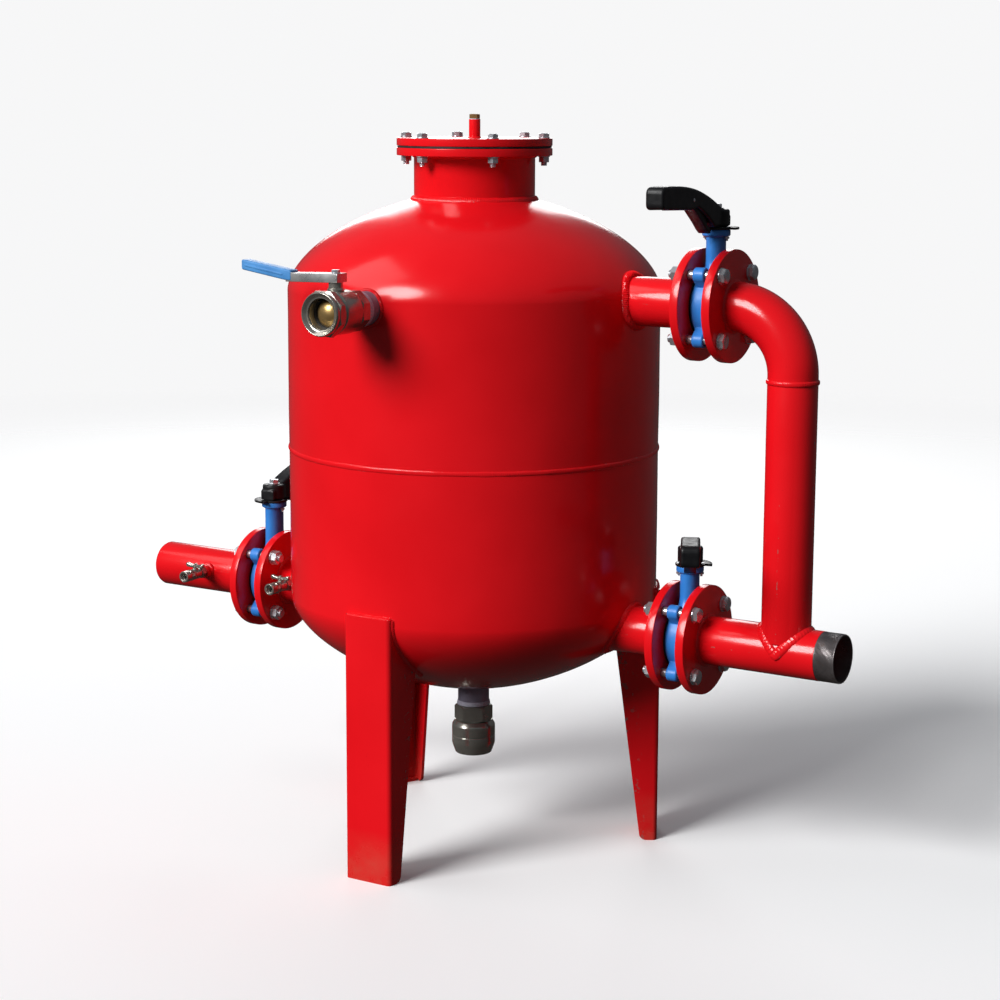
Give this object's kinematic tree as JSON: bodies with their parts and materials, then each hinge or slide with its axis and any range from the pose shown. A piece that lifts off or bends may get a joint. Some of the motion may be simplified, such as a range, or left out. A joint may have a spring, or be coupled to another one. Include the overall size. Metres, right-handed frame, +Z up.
{
  "type": "media filter vessel",
  "caption": "Vertical pressure vessel on folded legs with a bolted top hatch, flanged butterfly valves, side riser pipework, flush ball valve and bottom drain coupling.",
  "frame": {"origin": "centre of the footprint box, on the floor under the feet", "axes": "+Z up, +X towards the inlet pipe, -Y towards the flush valve and the front leg"},
  "size_m": [1.53, 0.84, 1.385],
  "materials": {
    "red_paint": "gloss enamel",
    "blue_paint": "satin epoxy",
    "black_paint": "satin black",
    "rubber": "matte",
    "zinc_steel": "bright zinc plate",
    "nickel": "cast nickel plate",
    "brass": "machined brass",
    "stainless": "brushed stainless"
  },
  "bodies": {
    "vessel": {"upper_shell": "red_paint", "lower_shell": "red_paint", "front_leg": "red_paint", "right_leg": "red_paint", "rear_leg": "red_paint", "hatch_neck": "red_paint", "hatch_lid": "red_paint", "filter_nozzle": "red_paint", "backwash_nozzle": "red_paint", "outlet_nozzle": "red_paint", "filter_elbow": "red_paint", "riser_pipe": "red_paint", "inlet_pipe": "red_paint", "outlet_pipe": "red_paint", "flush_nipple": "zinc_steel", "drain_coupling": "nickel", "hatch_gasket": "rubber", "vent_plug": "brass", "filter_valve_body": "blue_paint", "filter_valve_seat": "rubber", "filter_flange_bolt_1": "zinc_steel", "filter_flange_bolt_2": "zinc_steel", "filter_flange_bolt_3": "zinc_steel", "filter_flange_bolt_4": "zinc_steel", "backwash_valve_body": "blue_paint", "backwash_valve_seat": "rubber", "backwash_flange_bolt_1": "zinc_steel", "backwash_flange_bolt_2": "zinc_steel", "backwash_flange_bolt_3": "zinc_steel", "backwash_flange_bolt_4": "zinc_steel", "outlet_valve_body": "blue_paint", "outlet_valve_seat": "rubber", "outlet_flange_bolt_1": "zinc_steel", "outlet_flange_bolt_2": "zinc_steel", "outlet_flange_bolt_3": "zinc_steel", "outlet_flange_bolt_4": "zinc_steel", "hatch_bolt_1": "zinc_steel", "hatch_bolt_2": "zinc_steel", "hatch_bolt_3": "zinc_steel", "hatch_bolt_4": "zinc_steel", "hatch_bolt_5": "zinc_steel", "hatch_bolt_6": "zinc_steel", "flush_valve_body": "nickel", "stub_cock_body": "nickel", "outlet_cock_body": "nickel", "inlet_diffuser": "stainless", "underdrain": "stainless"},
    "filter_lever": {"filter_valve_disc": "stainless", "filter_valve_lever": "black_paint"},
    "filter_trigger": {"filter_valve_trigger": "black_paint"},
    "backwash_lever": {"backwash_valve_disc": "stainless", "backwash_valve_lever": "black_paint"},
    "backwash_trigger": {"backwash_valve_trigger": "black_paint"},
    "outlet_lever": {"outlet_valve_disc": "stainless", "outlet_valve_lever": "black_paint"},
    "outlet_trigger": {"outlet_valve_trigger": "black_paint"},
    "flush_handle": {"flush_valve_ball": "brass", "flush_valve_lever": "stainless"},
    "stub_cock_handle": {"stub_cock_wing": "nickel"},
    "outlet_cock_handle": {"outlet_cock_wing": "nickel"}
  },
  "joints": [
    {"name": "filter_valve_turn", "type": "hinge", "parent": "vessel", "child": "filter_lever", "pos_m": [0.5013, 0.07, 1.194], "axis": [0, 0, 1], "range_deg": [0, 90]},
    {"name": "filter_trigger_squeeze", "type": "hinge", "parent": "filter_lever", "child": "filter_trigger", "pos_m": [0.5013, -0.05, 1.244], "axis": [-1, 0, 0], "range_deg": [0, 6], "stiffness_Nm_per_rad": 2, "springref_deg": -11.46},
    {"name": "backwash_valve_turn", "type": "hinge", "parent": "vessel", "child": "backwash_lever", "pos_m": [0.4625, 0.07, 0.588], "axis": [0, 0, 1], "range_deg": [-27, 41]},
    {"name": "backwash_trigger_squeeze", "type": "hinge", "parent": "backwash_lever", "child": "backwash_trigger", "pos_m": [0.51698, -0.03692, 0.638], "axis": [-0.891, -0.454, 0], "range_deg": [0, 6], "stiffness_Nm_per_rad": 2, "springref_deg": -11.46},
    {"name": "outlet_valve_turn", "type": "hinge", "parent": "vessel", "child": "outlet_lever", "pos_m": [-0.4835, 0.07, 0.613], "axis": [0, 0, 1], "range_deg": [0, 90]},
    {"name": "outlet_trigger_squeeze", "type": "hinge", "parent": "outlet_lever", "child": "outlet_trigger", "pos_m": [-0.4835, 0.19, 0.663], "axis": [1, 0, 0], "range_deg": [0, 6], "stiffness_Nm_per_rad": 2, "springref_deg": -11.46},
    {"name": "flush_valve_turn", "type": "hinge", "parent": "vessel", "child": "flush_handle", "pos_m": [-0.0025, -0.37, 1.107], "axis": [0, 0, 1], "range_deg": [0, 90]},
    {"name": "stub_cock_turn", "type": "hinge", "parent": "vessel", "child": "stub_cock_handle", "pos_m": [-0.4065, -0.01245, 0.4682], "axis": [0, 0, 1], "range_deg": [0, 90]},
    {"name": "outlet_cock_turn", "type": "hinge", "parent": "vessel", "child": "outlet_cock_handle", "pos_m": [-0.6245, -0.01245, 0.4682], "axis": [0, 0, 1], "range_deg": [0, 90]}
  ]
}
